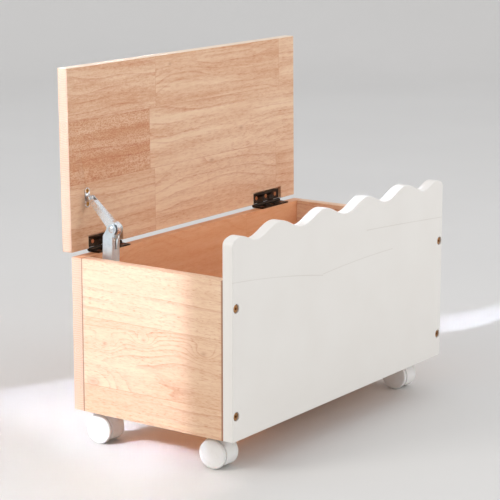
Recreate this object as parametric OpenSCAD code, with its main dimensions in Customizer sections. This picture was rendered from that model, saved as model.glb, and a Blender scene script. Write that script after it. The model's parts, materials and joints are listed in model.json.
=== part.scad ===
// Wooden toy box on casters. Millimetres, +Z up, floor at z = 0.
// X runs along the box, the painted wavy panel faces -Y, and the lid stands open at the back.

/* [Box] */
// Length of the box, over the front and back boards
box_length = 600; // [480:5:760]
// Depth of the box, front face to back face
box_depth = 298; // [240:2:380]
// Height of the side and back boards
board_height = 238; // [190:2:300]
// Thickness of every solid wood board
board_t = 18; // [15:0.5:24]
// Radius of the pencil-rounded corner where the wavy panel meets its ends
panel_corner_r = 7; // [3:0.5:12]

/* [Wavy front panel] */
// Length of one wave
wave_pitch = 120; // [90:5:150]
// Number of whole waves between the two end lobes
wave_count = 4; // [2:2:4]
// Height of a valley above the rim of the box
wave_low = 53; // [30:1:80]
// Height of a crest above a valley
wave_rise = 17; // [8:1:28]
// Height of an end lobe above a valley
lobe_rise = 10.5; // [5:0.5:20]

/* [Bottom board] */
// Thickness of the bottom board
bottom_t = 12; // [9:0.5:15]
// Height of the bottom board above the lower edge of the sides
bottom_recess = 6; // [5:0.5:12]
// Depth of the groove that holds the bottom board
groove_depth = 6; // [4:0.5:8]
// Gap between the bottom board and its groove
groove_clear = 0.3; // [0.1:0.1:0.6]

/* [Lid] */
// Gap between the closed lid and the wavy panel
lid_front_gap = 2; // [1:0.5:5]
// Gap between the closed lid and the rim
rim_gap = 0.6; // [0.4:0.1:1.2]
// How far the open lid leans back past upright, in degrees
lid_lean = 0.6; // [0:0.1:5]

/* [Hinges] */
// Length of one hinge
hinge_len = 76; // [60:1:90]
// Distance of a hinge's middle from the middle of the box
hinge_x = 218; // [150:1:230]
// Distance of the pin behind the back face
pin_back = 2.6; // [2.2:0.1:3.1]
// Width of one leaf, from the pin's axis
leaf_reach = 19.6; // [17:0.2:23]
// Thickness of a leaf
leaf_t = 2.2; // [1.6:0.1:2.4]
// Outer radius of a knuckle
knuckle_r = 3.2; // [3.1:0.1:3.6]
// Radius of the hinge pin
pin_r = 1.5; // [1.2:0.1:1.8]
// Radial gap of every running fit
run_clear = 0.05; // [0.02:0.01:0.1]
// Gap between neighbouring knuckles
knuckle_gap = 0.4; // [0.3:0.1:0.8]
// Margin of the lid's mortise round the leaf
mortise_margin = 3; // [1:0.5:5]
// Distance between neighbouring screws of a leaf
leaf_screw_pitch = 28; // [20:1:32]

/* [Lid stay] */
// Distance of the stay's middle from the inner face of the left board
stay_inset = 21; // [19:0.5:30]
// Height of the stay's upper pivot above the hinge pin, along the lid
stay_up = 82; // [70:1:100]
// Distance of the upper pivot from the face of the lid
stay_off = 7.9; // [7:0.1:12]
// How far the knee lies in front of the upper pivot
arm_fwd = 46; // [36:1:56]
// How far the knee lies below the upper pivot
arm_drop = 42.4; // [34:0.2:52]
// Width of the channel along the box
channel_w = 17.5; // [15:0.5:22]
// Depth of the channel, front to back
channel_d = 18.5; // [16:0.5:22]
// Thickness of the pressed steel
sheet_t = 1.3; // [1:0.1:1.6]
// Forward lean of the open channel, in degrees
channel_lean = 1.7; // [0:0.1:4]
// Width of the arm along the box
arm_w = 9.5; // [8.5:0.5:12]
// Radius of the cam at the arm's lower end
cam_r = 11; // [9:0.5:12]
// Radius of the pins at the foot and at the knee
stay_pin_r = 3; // [2.5:0.1:3.5]
// Radius of the pin at the lid bracket
lid_pin_r = 2; // [1.6:0.1:2.4]
// Radial gap at the lid bracket's pin
lid_pin_clear = 0.35; // [0.2:0.05:0.6]

/* [Casters] */
// Diameter of a wheel
wheel_d = 46; // [38:1:56]
// Width over both wheels
caster_w = 40; // [36:1:48]
// Distance of the wheel axle behind the swivel axis
trail = 14; // [12:0.5:18]
// Gap between the top of a wheel and the lower edge of the boards
wheel_gap = 10; // [8:0.5:16]
// Distance of the swivel axis from the outer faces of the box
caster_inset = 41; // [38:1:60]
// Width of the hood between the wheels
hood_w = 24; // [22:0.5:28]
// Radius of the axle
axle_r = 3; // [2:0.1:4]
// Radius of the swivel stem
stem_r = 4; // [3:0.1:5]
// Side of the square caster plate
plate_w = 38; // [34:1:42]

/* [Fasteners] */
// Height of the lower bolts above the lower edge of the boards
bolt_low = 38; // [30:1:60]
// Distance between the two bolts of a corner
bolt_pitch = 160; // [100:5:170]
// Radius of a bolt's shank
bolt_r = 3; // [2.5:0.1:3.5]
// Radius of a bolt's head
bolt_head_r = 5.8; // [5:0.1:6.5]
// Radial gap between a bolt's head and its counterbore
bolt_head_clear = 1.2; // [0.3:0.1:2]
// Length of the bolt below its head
bolt_len = 50; // [45:1:60]
// Radius of a barrel nut
nut_r = 5; // [4:0.1:6]
// Radius of an alignment dowel
dowel_r = 4; // [3:0.1:5]
// Length of an alignment dowel
dowel_len = 30; // [24:1:36]
// Radius of a wood screw's shank
screw_r = 1.7; // [1.3:0.1:2]
// Radius of a wood screw's head
screw_head_r = 3.4; // [2.8:0.1:3.8]
// Gap between a fastener and its hole
fit_clear = 0.05; // [0.02:0.01:0.1]

/* [Hidden] */
$fn = 48;
eps = 0.5;
big = 400;

HINGES = ["left", "right"];
CASTERS = ["front_left", "front_right", "back_left", "back_right"];

// Heights
edge_z = wheel_d + wheel_gap;
rim_z = edge_z + board_height;
bottom_z = edge_z + bottom_recess;
axle_z = wheel_d / 2;

// Lid, in a frame on the hinge pin's axis: y outwards through the lid, z up along it
lid_face = rim_gap - knuckle_r;
lid_edge = pin_back;
lid_h = box_depth - board_t - lid_front_gap;

// End lobes: how much of a whole wave each one runs through, in degrees
lobe_turn = 276;

// The box is centred on y = 0 with its open lid, so the front face lies further out than half its depth
lid_back = pin_back + (lid_face + board_t) * cos(lid_lean) + (lid_edge + lid_h) * sin(lid_lean);
front_y = -(box_depth + lid_back) / 2;
back_y = front_y + box_depth;
inner_front_y = front_y + board_t;
inner_back_y = back_y - board_t;
inner_x = box_length / 2 - board_t;
side_len = box_depth - 2 * board_t;
pin_y = back_y + pin_back;
pin_z = rim_z + knuckle_r;

// Hinges: five knuckles share the length, and the even ones belong to the rim leaf
knuckle_len = hinge_len / 5;
pin_head_r = knuckle_r - 0.6;
pin_head_t = 0.9;
pin_proud = 1;

// Lid stay: the lid, arm, channel and box make a parallelogram
stay_x = -inner_x + stay_inset;
lid_pivot = [
  pin_y + (lid_face - stay_off) * cos(lid_lean) + stay_up * sin(lid_lean),
  pin_z + stay_up * cos(lid_lean) - (lid_face - stay_off) * sin(lid_lean)
];
knee = lid_pivot - [arm_fwd, arm_drop];
foot = [pin_y, pin_z] - [arm_fwd, arm_drop];
link_len = norm(knee - foot);
channel_below = 14;
channel_above = link_len - 12;
ear_r = 8;
fold_clear = 0.6;
slot_w = 3;
slot_len = 20;
notch_h = 4;
arm_room = arm_w + 1;
notch_w = arm_w + 0.6;
cam_shift = [2, 1];
foot_boss_r = 7;
foot_plate_r = 10;
bracket_tab_r = 7;
bracket_t = 2;
boss_gap = 0.4;
rivet_proud = 0.5;
rivet_head_t = 1.6;
rivet_head_over = 1.8;
spring_r = min(channel_w, channel_d) / 2 - sheet_t - 1;
spring_wire = 1.2;
spring_low = 12;
plunger_top = channel_above - 5;
plunger_len = 16;
arm_len = norm([arm_fwd, arm_drop]);
arm_angle = atan2(arm_drop, arm_fwd);
arm_knee_r = 8;
arm_top_r = 4;
arm_hollow = cam_r + norm(cam_shift) + 1;
arm_open = 9;
lug_t = 3;
lug_r = 4;
lid_bracket_t = 1.5;
lid_bracket_pitch = 20;
lid_bracket_r = 5.5;
lid_pin_gap = 0.4;
lid_pin_head_t = 1.2;
lid_pin_head_over = 1.3;
base_screw_pitch = 40;

// Casters
plate_t = 2;
plate_z = bottom_z - plate_t;
socket_h = 5;
socket_r = 7;
hood_r = wheel_d / 2 + 1;
hood_t = 2;
hood_lip = 38;
hood_tail = 25;
core_w = 17;
core_r = wheel_d / 2 - 3;
core_floor = 8;
wheel_clear = 0.5;
wheel_face_t = 1.2;
wheel_edge_r = 2.5;
stem_collar_h = 1.4;
stem_gap = 0.4;
stem_low = wheel_d / 2 + 8;
collar_low = plate_z - socket_h - stem_gap - stem_collar_h;
plate_corner_r = 5;
boss_r = core_w / 2 - 0.2;
boss_sunk = 4;
boss_play = 0.1;
axle_short = 2;
wheel_blind = 1.8;
plate_screw_pitch = plate_w - 10;

// Fasteners
bolt_x = box_length / 2 - board_t / 2;
bolt_sink = 4.6;
bolt_head_h = 3.6;
hex_r = 2.3;
hex_depth = 2.4;
nut_len = 12;
bolt_past_nut = 2;
nut_depth = bolt_sink + bolt_len - board_t - bolt_past_nut;
dowel_in_face = 10;
dowel_step = 30;
leaf_screw_len = 14;
plate_screw_len = 9;
leaf_screw_v = leaf_reach - 8;

// Shared shapes

// Cylinder along +X from the origin
module x_rod(r, len) rotate([0, 90, 0]) cylinder(r = r, h = len);

// Cylinder along +Y from the origin
module y_rod(r, len) rotate([-90, 0, 0]) cylinder(r = r, h = len);

// Flat countersunk screw, head face at the origin, pointing along -Z
module wood_screw(len) {
  difference() {
    union() {
      translate([0, 0, -screw_head_r + screw_r])
        cylinder(r1 = screw_r, r2 = screw_head_r, h = screw_head_r - screw_r);
      translate([0, 0, -len + 2 * screw_r]) cylinder(r = screw_r, h = len - 2 * screw_r - 1);
      translate([0, 0, -len]) cylinder(r1 = 0.2, r2 = screw_r, h = 2 * screw_r);
    }
    for (a = [0, 90])
      rotate([0, 0, a]) translate([-screw_head_r * 0.6, -0.35, -1]) cube([screw_head_r * 1.2, 0.7, 2]);
  }
}

// Room for that screw: a countersink and a pilot hole
module wood_screw_hole(len) {
  c = fit_clear;
  translate([0, 0, -screw_head_r + screw_r - c])
    cylinder(r1 = screw_r + c, r2 = screw_head_r + c, h = screw_head_r - screw_r);
  translate([0, 0, -c]) cylinder(r = screw_head_r + c, h = 1);
  translate([0, 0, -len - c]) cylinder(r = screw_r + c, h = len);
}

// Outline that joins two circles by their outer tangents, in a plane
module link_outline(a, ra, b, rb) {
  d = norm(b - a);
  turn = atan2(b[1] - a[1], b[0] - a[0]);
  lean = acos((ra - rb) / d);
  translate(a) circle(r = ra);
  translate(b) circle(r = rb);
  polygon([for (s = [1, -1], e = s > 0 ? [0, 1] : [1, 0])
    (e == 0 ? a : b) + (e == 0 ? ra : rb) * [cos(turn + s * lean), sin(turn + s * lean)]]);
}

// The same outline as one run of points, for a piece that other shapes are joined to
function link_points(a, ra, b, rb) =
  let (d = norm(b - a), turn = atan2(b[1] - a[1], b[0] - a[0]), lean = acos((ra - rb) / d), n = 32)
  concat([for (i = [0:n], t = turn + lean + (360 - 2 * lean) * i / n) a + ra * [cos(t), sin(t)]],
    [for (i = [0:n], t = turn - lean + 2 * lean * i / n) b + rb * [cos(t), sin(t)]]);

// Sheet that stands in the YZ plane between x and x + t, from an outline in (y, z)
module yz_sheet(x, t) translate([x, 0, 0]) rotate([90, 0, 90]) linear_extrude(t) children();

// Places a child at both ends of the box, the right one mirrored
module both_ends() {
  children();
  mirror([1, 0, 0]) children();
}

// Boards and their fasteners

function wave_span() = wave_count * wave_pitch / 2;
function lobe_share(x) = (abs(x) - wave_span()) / (box_length / 2 - wave_span());
function wave_shape(x) = abs(x) <= wave_span()
  ? wave_rise * (1 - cos(360 * x / wave_pitch)) / 2
  : lobe_rise * (1 - cos(lobe_turn * lobe_share(x))) / 2;
function corner_drop(x) = let (d = max(0, abs(x) - box_length / 2 + panel_corner_r))
  panel_corner_r - sqrt(max(0, panel_corner_r * panel_corner_r - d * d));
function panel_top(x) = board_height + wave_low + wave_shape(x) - corner_drop(x);

// Room for one bolt, its head's counterbore opening at the origin and its shank along +Y
module bolt_hole() {
  translate([0, -eps, 0]) y_rod(bolt_head_r + bolt_head_clear, bolt_sink + eps);
  y_rod(bolt_r + 2 * fit_clear, bolt_sink + bolt_len + 3);
}

module bolt() {
  translate([0, bolt_sink - bolt_head_h, 0]) difference() {
    union() {
      y_rod(bolt_head_r - 0.6, bolt_head_h);
      translate([0, 0.6, 0]) y_rod(bolt_head_r, bolt_head_h - 0.6);
      y_rod(bolt_r, bolt_head_h + bolt_len);
    }
    translate([0, -eps, 0]) rotate([-90, 0, 0]) cylinder(r = hex_r, h = hex_depth + eps, $fn = 6);
  }
}

// Places a child at each bolt of the face whose outer side is at y = 0
module bolt_places() {
  for (z = [bolt_low, bolt_low + bolt_pitch])
    both_ends() translate([-bolt_x, 0, edge_z + z]) children();
}

module front_bolt_places() translate([0, front_y, 0]) bolt_places() children();
module back_bolt_places() translate([0, back_y, 0]) mirror([0, 1, 0]) bolt_places() children();

module dowel_places() {
  for (z = [bolt_low + dowel_step, bolt_low + bolt_pitch - dowel_step])
    both_ends() translate([-bolt_x, 0, edge_z + z]) {
      translate([0, inner_front_y - dowel_in_face, 0]) children();
      translate([0, inner_back_y + dowel_in_face - dowel_len, 0]) children();
    }
}

module dowel_holes() {
  c = fit_clear;
  dowel_places() translate([0, -c, 0]) y_rod(dowel_r + c, dowel_len + 2 * c);
}

module bottom_slab(grow) {
  half_x = inner_x + groove_depth - groove_clear + grow;
  y0 = inner_front_y - groove_depth + groove_clear - grow;
  y1 = inner_back_y + groove_depth - groove_clear + grow;
  translate([-half_x, y0, bottom_z - grow]) cube([2 * half_x, y1 - y0, bottom_t + 2 * grow]);
}

module front_panel() {
  x_step = wave_pitch / 30;
  steps = ceil(box_length / x_step);
  top = [for (i = [0:steps]) let (x = box_length * (i / steps - 0.5)) [x, panel_top(x)]];
  color("white") difference() {
    translate([0, inner_front_y, edge_z]) rotate([90, 0, 0]) linear_extrude(board_t)
      polygon([[box_length / 2, 0], [-box_length / 2, 0], each top]);
    bottom_slab(groove_clear);
    front_bolt_places() bolt_hole();
    dowel_holes();
  }
}

module back_board() {
  color("burlywood") difference() {
    translate([-box_length / 2, inner_back_y, edge_z]) cube([box_length, board_t, board_height]);
    bottom_slab(groove_clear);
    back_bolt_places() bolt_hole();
    dowel_holes();
    rim_leaf_places() leaf_screw_places() wood_screw_hole(leaf_screw_len);
  }
}

module nut_places() {
  for (z = [bolt_low, bolt_low + bolt_pitch], y = [inner_front_y + nut_depth, inner_back_y - nut_depth])
    both_ends() translate([-bolt_x - nut_len / 2, y, edge_z + z]) children();
}

module side_board() {
  difference() {
    translate([-box_length / 2, inner_front_y, edge_z]) cube([board_t, side_len, board_height]);
    bottom_slab(groove_clear);
    front_bolt_places() bolt_hole();
    back_bolt_places() bolt_hole();
    dowel_holes();
    nut_places() translate([-fit_clear, 0, 0]) x_rod(nut_r + fit_clear, board_t);
  }
}

module left_side_board() {
  color("burlywood") difference() {
    side_board();
    base_screw_places() wood_screw_hole(leaf_screw_len);
  }
}

module right_side_board() color("burlywood") mirror([1, 0, 0]) side_board();

module bottom_board() {
  color("tan") difference() {
    bottom_slab(0);
    caster_places() plate_screw_places() wood_screw_hole(plate_screw_len);
  }
}

module front_bolts() color("peru") front_bolt_places() bolt();

module back_bolts() color("peru") back_bolt_places() bolt();

module barrel_nuts() {
  color("silver") nut_places() difference() {
    x_rod(nut_r, nut_len);
    translate([nut_len / 2, -nut_r - eps, 0]) y_rod(bolt_r + fit_clear, 2 * nut_r + 2 * eps);
  }
}

module alignment_dowels() color("wheat") dowel_places() y_rod(dowel_r, dowel_len);

// Lid and hinges

// Puts a child that is drawn in the lid's frame in its open place
module on_lid() translate([0, pin_y, pin_z]) rotate([-lid_lean, 0, 0]) children();

module hinge_places() for (x = [-hinge_x, hinge_x]) translate([x, 0, 0]) children();

// Frame of the leaves on the rim: the pin's axis at the origin
module rim_leaf_places() translate([0, pin_y, pin_z]) hinge_places() children();

// Screws of a leaf on the rim, heads up, in the hinge's frame
module leaf_screw_places() {
  for (i = [-1:1]) translate([i * leaf_screw_pitch, -leaf_screw_v, leaf_t - knuckle_r]) children();
}

// The same screws on the lid's leaf, heads forwards, in the lid's frame
module lid_screw_places() {
  for (i = [-1:1])
    translate([i * leaf_screw_pitch, knuckle_r - leaf_t, leaf_screw_v]) rotate([90, 0, 0]) children();
}

// Where a knuckle starts, counted from the left
function knuckle_x(i) = (i - 2.5) * knuckle_len;

module knuckles(which) {
  for (i = which)
    translate([knuckle_x(i) + knuckle_gap / 2, 0, 0]) x_rod(knuckle_r, knuckle_len - knuckle_gap);
}

module knuckle_room(which) {
  side = knuckle_r + knuckle_gap;
  for (i = which)
    translate([knuckle_x(i) - knuckle_gap / 2, -side, -side])
      cube([knuckle_len + knuckle_gap, 2 * side, 2 * side]);
}

// A leaf that lies under the pin and reaches forwards
module leaf(own, other) {
  difference() {
    union() {
      difference() {
        translate([-hinge_len / 2, -leaf_reach, -knuckle_r]) cube([hinge_len, leaf_reach, leaf_t]);
        knuckle_room(other);
      }
      knuckles(own);
    }
    translate([-hinge_len / 2 - eps, 0, 0]) x_rod(pin_r + run_clear, hinge_len + 2 * eps);
    leaf_screw_places() wood_screw_hole(leaf_screw_len);
  }
}

module rim_leaf() leaf([0, 2, 4], [1, 3]);

// The lid's leaf is the same pressing turned over, which opens the hinge to a right angle
module lid_leaf() mirror([0, 0, 1]) leaf([1, 3], [0, 2, 4]);
module lid_leaf_open() rotate([-90, 0, 0]) lid_leaf();

module hinge_rim_leaf(x) color("dimgray") translate([x, pin_y, pin_z]) rim_leaf();

module hinge_lid_leaf(x) color("dimgray") on_lid() translate([x, 0, 0]) lid_leaf_open();

module hinge_pin(x) {
  len = hinge_len + 2 * pin_proud;
  color("gray") translate([x - len / 2, pin_y, pin_z]) {
    x_rod(pin_r, len);
    for (end = [0, len - pin_head_t]) translate([end, 0, 0]) x_rod(pin_head_r, pin_head_t);
  }
}

module lid_panel() {
  mortise_w = hinge_len + 2 * mortise_margin;
  color("burlywood") on_lid() difference() {
    translate([-box_length / 2, lid_face, lid_edge]) cube([box_length, board_t, lid_h]);
    hinge_places() translate([-mortise_w / 2, lid_face - eps, 0])
      cube([mortise_w, knuckle_r - lid_face + eps, leaf_reach + mortise_margin]);
    hinge_places() lid_screw_places() wood_screw_hole(leaf_screw_len);
    lid_bracket_screw_places() wood_screw_hole(leaf_screw_len);
  }
}

module lid_hinge_screws() color("peru") on_lid() hinge_places() lid_screw_places() wood_screw(leaf_screw_len);

module rim_hinge_screws() color("peru") rim_leaf_places() leaf_screw_places() wood_screw(leaf_screw_len);

// Lid stay

// Base bracket's screws, heads towards the middle of the box
module base_screw_places() {
  for (z = [-1, 1] * base_screw_pitch / 2)
    translate([-inner_x + bracket_t, foot[0], foot[1] + z]) rotate([0, 90, 0]) children();
}

module stay_base_bracket() {
  tab = [0, base_screw_pitch / 2];
  boss_len = stay_inset - channel_w / 2 - boss_gap;
  color("silver") difference() {
    union() {
      yz_sheet(-inner_x, bracket_t)
        for (s = [-1, 1]) link_outline(foot, foot_plate_r, foot + s * tab, bracket_tab_r);
      translate([-inner_x, foot[0], foot[1]]) x_rod(foot_boss_r, boss_len);
    }
    translate([-inner_x - eps, foot[0], foot[1]]) x_rod(stay_pin_r + fit_clear, boss_len + 2 * eps);
    base_screw_places() wood_screw_hole(leaf_screw_len);
  }
}

module stay_base_pin() {
  head_x = stay_x + channel_w / 2 + boss_gap;
  color("silver") {
    translate([-inner_x, foot[0], foot[1]]) x_rod(stay_pin_r, head_x + inner_x + rivet_proud);
    translate([head_x, foot[0], foot[1]]) x_rod(stay_pin_r + rivet_head_over, rivet_head_t);
  }
}

module stay_base_screws() color("peru") base_screw_places() wood_screw(leaf_screw_len);

// Frame of the channel: origin at its foot pivot, z up along it
module on_channel() translate([stay_x, foot[0], foot[1]]) rotate([channel_lean, 0, 0]) children();

// The knee in the channel's frame, as [y, z]
function knee_in_channel() = let (tilt = atan2(foot[0] - knee[0], knee[1] - foot[1]) - channel_lean)
  link_len * [-sin(tilt), cos(tilt)];

// Room for the arm, which folds down behind the knee from its open place, in the channel's frame
module arm_sweep() {
  translate([-arm_room / 2, knee_in_channel()[0], knee_in_channel()[1]])
    rotate([arm_angle - 90 - lid_lean - channel_lean, 0, 0])
      translate([0, 0, -arm_knee_r - fold_clear]) cube([arm_room, big, big]);
}

// Room for the cam's sweep and the slot below it in the channel's front wall
module channel_slot() {
  translate([-slot_w / 2, -channel_d / 2 - eps, channel_above - slot_len])
    cube([slot_w, channel_d / 2, slot_len + eps]);
  translate([-notch_w / 2, -channel_d / 2 - eps, channel_above - notch_h])
    cube([notch_w, channel_d / 2, notch_h + eps]);
}

// Side view of the channel in its own frame, with the ears that carry the knee
function channel_outline() = [
  [-channel_d / 2, -channel_below], [channel_d / 2, -channel_below], [channel_d / 2, channel_above],
  for (a = [20:15:200]) knee_in_channel() + ear_r * [cos(a), sin(a)],
  [-channel_d / 2, channel_above]
];

module stay_channel() {
  inside_w = channel_w - 2 * sheet_t;
  color("lightsteelblue") difference() {
    on_channel() difference() {
      yz_sheet(-channel_w / 2, channel_w) polygon(channel_outline());
      translate([-inside_w / 2, -channel_d / 2 + sheet_t, -big])
        cube([inside_w, channel_d - 2 * sheet_t, 2 * big]);
      translate([-inside_w / 2, -big, channel_above]) cube([inside_w, 2 * big, big]);
      channel_slot();
      arm_sweep();
    }
    translate([stay_x - channel_w, foot[0], foot[1]]) x_rod(stay_pin_r + run_clear, 2 * channel_w);
    translate([stay_x - channel_w, knee[0], knee[1]]) x_rod(stay_pin_r + fit_clear, 2 * channel_w);
  }
}

module stay_spring() {
  len = plunger_top - plunger_len - spring_low;
  color("gray") on_channel() translate([0, 0, spring_low]) difference() {
    cylinder(r = spring_r, h = len);
    translate([0, 0, -eps]) cylinder(r = spring_r - spring_wire, h = len + 2 * eps);
  }
}

module stay_plunger() {
  color("goldenrod") on_channel() difference() {
    translate([0, 0, plunger_top - plunger_len]) cylinder(r = spring_r, h = plunger_len);
    arm_sweep();
  }
}

module stay_knee_rivet() {
  half_t = rivet_head_t / 2;
  head_r = stay_pin_r + rivet_head_over;
  color("silver") translate([stay_x, knee[0], knee[1]]) {
    translate([-channel_w / 2 - rivet_proud, 0, 0]) x_rod(stay_pin_r, channel_w + 2 * rivet_proud);
    for (s = [-1, 1])
      translate([s * channel_w / 2, 0, 0]) rotate([0, s * 90, 0]) {
        cylinder(r = head_r, h = half_t);
        translate([0, 0, half_t]) cylinder(r1 = head_r, r2 = head_r - 2 * half_t, h = half_t);
      }
  }
}

// The arm is a pressed channel: two cheeks, a web along its upper side, and the cam at the knee
module stay_arm() {
  slope = asin((arm_knee_r - arm_top_r) / arm_len);
  inside_w = arm_w - 2 * sheet_t;
  color("silver") difference() {
    yz_sheet(stay_x - arm_w / 2, arm_w) {
      polygon(link_points(knee, arm_knee_r, lid_pivot, arm_top_r));
      translate(knee + cam_shift) circle(r = cam_r);
    }
    translate([stay_x - inside_w / 2, knee[0], knee[1]]) rotate([arm_angle - slope, 0, 0]) {
      translate([0, arm_hollow, -big]) cube([inside_w, big, big + arm_knee_r - sheet_t]);
      translate([0, arm_len - arm_open, -big]) cube([inside_w, big, 2 * big]);
    }
    translate([stay_x - arm_w, knee[0], knee[1]]) x_rod(stay_pin_r + run_clear, 2 * arm_w);
    translate([stay_x - arm_w, lid_pivot[0], lid_pivot[1]]) x_rod(lid_pin_r + lid_pin_clear, 2 * arm_w);
  }
}

// Screws of the lid bracket, in the lid's frame
module lid_bracket_screw_places() {
  for (s = [-1, 1])
    translate([stay_x, lid_face - lid_bracket_t, stay_up + s * lid_bracket_pitch / 2])
      rotate([90, 0, 0]) children();
}

module stay_lid_bracket() {
  half = lid_bracket_pitch / 2;
  pivot_y = lid_face - stay_off;
  color("silver") on_lid() difference() {
    union() {
      translate([stay_x, lid_face, stay_up]) rotate([90, 0, 0]) linear_extrude(lid_bracket_t)
        link_outline([0, half], lid_bracket_r, [0, -half], lid_bracket_r);
      yz_sheet(stay_x - lug_t / 2, lug_t) {
        translate([pivot_y, stay_up]) circle(r = lug_r);
        translate([pivot_y, stay_up - lug_r]) square([stay_off, 2 * lug_r]);
      }
    }
    translate([stay_x - lug_t, pivot_y, stay_up]) x_rod(lid_pin_r + fit_clear, 2 * lug_t);
    lid_bracket_screw_places() wood_screw_hole(leaf_screw_len);
  }
}

module stay_lid_pin() {
  half = arm_w / 2 + lid_pin_gap;
  color("silver") on_lid() translate([stay_x, lid_face - stay_off, stay_up]) {
    translate([-half - rivet_proud, 0, 0]) x_rod(lid_pin_r, 2 * (half + rivet_proud));
    for (s = [-1, 1])
      translate([s * half, 0, 0]) rotate([0, s * 90, 0])
        cylinder(r = lid_pin_r + lid_pin_head_over, h = lid_pin_head_t);
  }
}

module stay_lid_screws() color("gold") on_lid() lid_bracket_screw_places() wood_screw(leaf_screw_len);

// Casters: drawn round the swivel axis, with the axle behind it

function caster_x(c) = (c % 2 == 0 ? -1 : 1) * (box_length / 2 - caster_inset);
function caster_y(c) = c < 2 ? front_y + caster_inset : back_y - caster_inset;

module caster_place(c) translate([caster_x(c), caster_y(c), 0]) children();

module caster_places() for (c = [0:3]) caster_place(c) children();

module plate_screw_places() {
  for (sx = [-1, 1], sy = [-1, 1])
    translate([sx * plate_screw_pitch / 2, sy * plate_screw_pitch / 2, plate_z])
      rotate([180, 0, 0]) children();
}

module caster_plate() {
  flat = plate_w - 2 * plate_corner_r;
  color("silver") difference() {
    union() {
      translate([-flat / 2, -plate_w / 2, plate_z]) cube([flat, plate_w, plate_t]);
      translate([-plate_w / 2, -flat / 2, plate_z]) cube([plate_w, flat, plate_t]);
      for (sx = [-1, 1], sy = [-1, 1])
        translate([sx * flat / 2, sy * flat / 2, plate_z]) cylinder(r = plate_corner_r, h = plate_t);
      translate([0, 0, plate_z - socket_h]) cylinder(r = socket_r, h = socket_h);
    }
    translate([0, 0, plate_z - socket_h - eps])
      cylinder(r = stem_r + run_clear, h = socket_h + plate_t + 2 * eps);
    plate_screw_places() wood_screw_hole(plate_screw_len);
  }
}

module caster_stem() {
  color("silver") {
    translate([0, 0, stem_low]) cylinder(r = stem_r, h = bottom_z - stem_gap - stem_low);
    translate([0, 0, collar_low]) cylinder(r = socket_r - 1, h = stem_collar_h);
  }
}

module caster_hood() {
  color("white") difference() {
    union() {
      translate([0, trail, axle_z]) difference() {
        translate([-hood_w / 2, 0, 0]) x_rod(hood_r, hood_w);
        for (s = [-1, 1])
          translate([s > 0 ? core_w / 2 : -hood_w / 2 - eps, 0, 0])
            x_rod(hood_r - hood_t, (hood_w - core_w) / 2 + eps);
        // The hood covers the front and top of the wheels and leaves their back and foot open
        yz_sheet(-hood_w, 2 * hood_w) polygon([
          [0, 0],
          big * [-cos(hood_lip), -sin(hood_lip)],
          [-big, -big], [big, -big],
          big * [cos(hood_tail), sin(hood_tail)]
        ]);
      }
      translate([-core_w / 2, trail, axle_z]) intersection() {
        x_rod(core_r, core_w);
        translate([-eps, -big, core_floor - axle_z]) cube([core_w + 2 * eps, 2 * big, 2 * big]);
      }
      translate([0, 0, stem_low - boss_sunk])
        cylinder(r = boss_r, h = collar_low - boss_play - stem_low + boss_sunk);
    }
    translate([0, 0, stem_low]) cylinder(r = stem_r + fit_clear, h = big);
    translate([-hood_w, trail, axle_z]) x_rod(axle_r + fit_clear, 2 * hood_w);
  }
}

module caster_axle() {
  len = caster_w - 2 * (wheel_face_t + axle_short);
  color("silver") translate([-len / 2, trail, axle_z]) x_rod(axle_r, len);
}

// Half-section of a wheel as [radius, distance from the caster's middle]
function wheel_section() = let (
  rim = wheel_d / 2, edge = wheel_edge_r, out = caster_w / 2 - wheel_face_t, inner = core_w / 2 + wheel_clear,
  under_hood = hood_r - hood_t - wheel_clear, hood_side = hood_w / 2 + wheel_clear
) [
  [0, core_w / 2 + wheel_clear], [under_hood, inner], [under_hood, hood_side], [rim, hood_side],
  for (a = [0:15:90]) [rim - edge + edge * cos(a), out - edge + edge * sin(a)],
  for (i = [1:8]) [(rim - edge) * (1 - i / 8), out + wheel_face_t * (1 - pow(1 - i / 8, 2))]
];

module caster_wheel(side) {
  blind = caster_w / 2 - wheel_face_t - wheel_blind;
  color("whitesmoke") translate([0, trail, axle_z]) difference() {
    rotate([0, side * 90, 0]) rotate_extrude() polygon(wheel_section());
    rotate([0, side * 90, 0]) cylinder(r = axle_r + run_clear, h = blind);
  }
}

module caster_screws() color("silver") caster_places() plate_screw_places() wood_screw(plate_screw_len);

front_panel();
back_board();
left_side_board();
right_side_board();
bottom_board();
front_bolts();
back_bolts();
barrel_nuts();
alignment_dowels();
lid_panel();
lid_hinge_screws();
rim_hinge_screws();
stay_base_bracket();
stay_base_pin();
stay_base_screws();
stay_channel();
stay_spring();
stay_plunger();
stay_knee_rivet();
stay_arm();
stay_lid_bracket();
stay_lid_pin();
stay_lid_screws();
caster_screws();
for (i = [0:1]) {
  name = str("hinge_", HINGES[i]);
  x = (i == 0 ? -1 : 1) * hinge_x;
  hinge_rim_leaf(x);
  hinge_lid_leaf(x);
  hinge_pin(x);
}
for (c = [0:3]) {
  name = str("caster_", CASTERS[c]);
  caster_place(c) caster_plate();
  caster_place(c) caster_stem();
  caster_place(c) caster_hood();
  caster_place(c) caster_axle();
  caster_place(c) caster_wheel(-1);
  caster_place(c) caster_wheel(1);
}
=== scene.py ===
# %% [markdown]
# # A wooden toy box: looks for a finished model
#
# The real object is a low chest on casters. Its boards are glued up from pale hardwood staves,
# its front is painted and cut in waves, and its lid hangs on two bronze hinges with one sprung stay.
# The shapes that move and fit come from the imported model; this script gives every piece its finished
# surface. Each step says what the piece is, how it could be made, and why it is made the way it is.

import json
import math

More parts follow.
